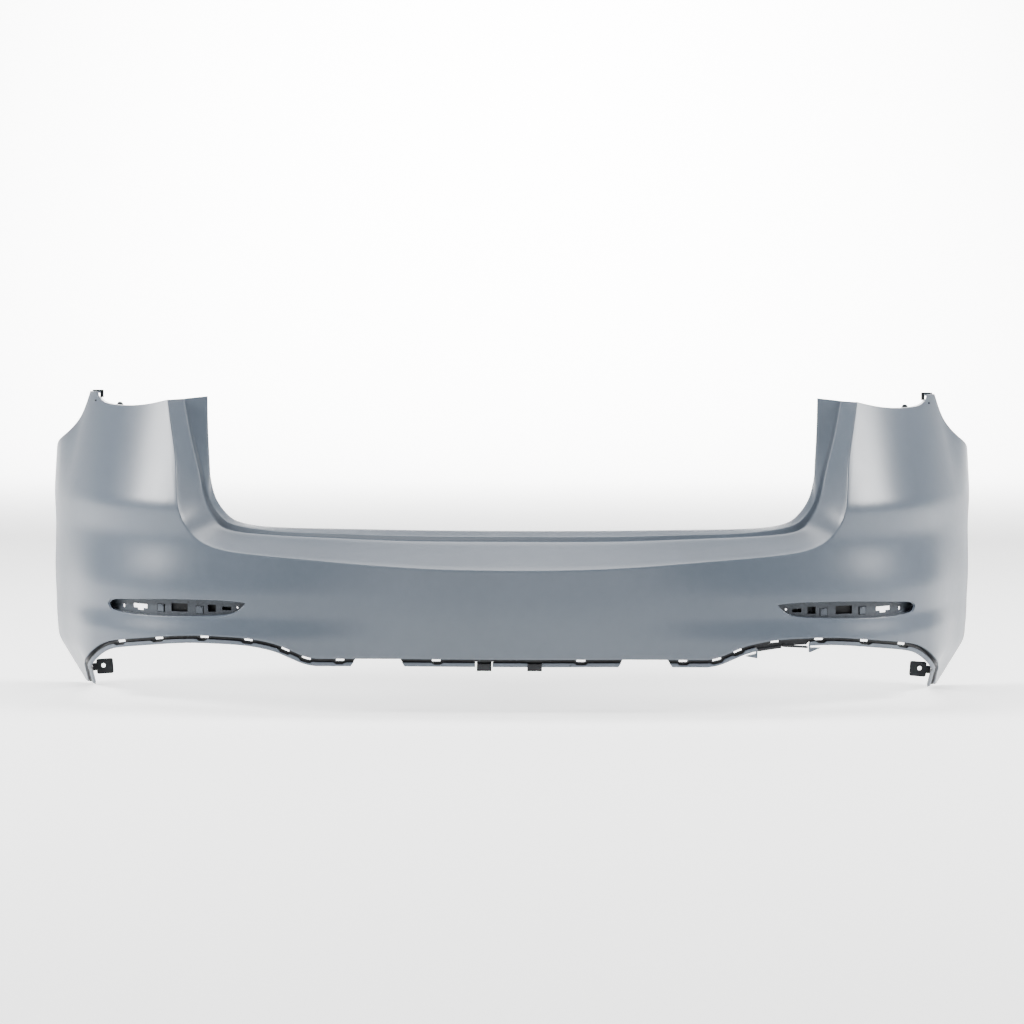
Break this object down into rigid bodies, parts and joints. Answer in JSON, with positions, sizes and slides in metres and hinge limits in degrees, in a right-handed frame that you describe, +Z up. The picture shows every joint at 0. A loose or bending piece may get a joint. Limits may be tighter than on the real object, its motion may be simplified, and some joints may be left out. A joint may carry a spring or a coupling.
{
  "type": "bumper cover",
  "caption": "Rear bumper cover with reflector recesses, sprung reflector latches, lower rails, corner brackets and a stepped load sill.",
  "frame": {"origin": "on the floor, in the middle of the box round the cover as it stands", "axes": "+Z up; +X to the right when the cover is looked at from behind the car; +Y towards the front of the car"},
  "size_m": [1.8964, 0.603, 0.6034],
  "materials": {
    "primer_skin": "primer-grey satin",
    "black_carrier": "moulded black",
    "black_latch": "moulded black",
    "valance_plastic": "moulded black with primer overspray",
    "stake_plastic": "melted heads",
    "pin_plastic": "moulded black",
    "gusset_plastic": "primer overspray",
    "black_plastic": "moulded black, fine texture"
  },
  "bodies": {
    "cover": {"arch_bracket_left": "black_plastic", "arch_bracket_right": "black_plastic", "bumper_skin": "primer_skin", "corner_clip_left": "black_plastic", "corner_clip_right": "black_plastic", "heat_stakes": "stake_plastic", "lamp_tab_left": "black_plastic", "lamp_tab_right": "black_plastic", "link_bar_inner": "black_plastic", "link_bar_outer": "black_plastic", "locator_pin_left": "pin_plastic", "locator_pin_right": "pin_plastic", "lower_rail_centre": "valance_plastic", "lower_rail_left": "valance_plastic", "lower_rail_right": "valance_plastic", "reflector_carrier_left": "black_carrier", "reflector_carrier_right": "black_carrier", "seam_bracket_left": "black_plastic", "seam_bracket_right": "black_plastic", "sill_stiffener": "black_plastic", "valance_gusset_inner": "gusset_plastic", "valance_gusset_outer": "gusset_plastic", "valance_hook_left": "black_plastic", "valance_hook_right": "black_plastic"},
    "latch_inner_left": {"reflector_latch_inner_left": "black_latch"},
    "latch_inner_right": {"reflector_latch_inner_right": "black_latch"},
    "latch_outer_left": {"reflector_latch_outer_left": "black_latch"},
    "latch_outer_right": {"reflector_latch_outer_right": "black_latch"}
  },
  "joints": [
    {"name": "latch_inner_left_flex", "type": "hinge", "parent": "cover", "child": "latch_inner_left", "pos_m": [-0.59939, -0.22848, 0.1855], "axis": [-0.9446, 0.3281, 0], "range_deg": [0, 6], "stiffness_Nm_per_rad": 0.06},
    {"name": "latch_inner_right_flex", "type": "hinge", "parent": "cover", "child": "latch_inner_right", "pos_m": [0.59939, -0.22848, 0.1855], "axis": [-0.9446, -0.3281, 0], "range_deg": [0, 6], "stiffness_Nm_per_rad": 0.06},
    {"name": "latch_outer_left_flex", "type": "hinge", "parent": "cover", "child": "latch_outer_left", "pos_m": [-0.67763, -0.19218, 0.1855], "axis": [-0.8526, 0.5225, 0], "range_deg": [0, 6], "stiffness_Nm_per_rad": 0.06},
    {"name": "latch_outer_right_flex", "type": "hinge", "parent": "cover", "child": "latch_outer_right", "pos_m": [0.67763, -0.19218, 0.1855], "axis": [-0.8526, -0.5225, 0], "range_deg": [0, 6], "stiffness_Nm_per_rad": 0.06}
  ]
}
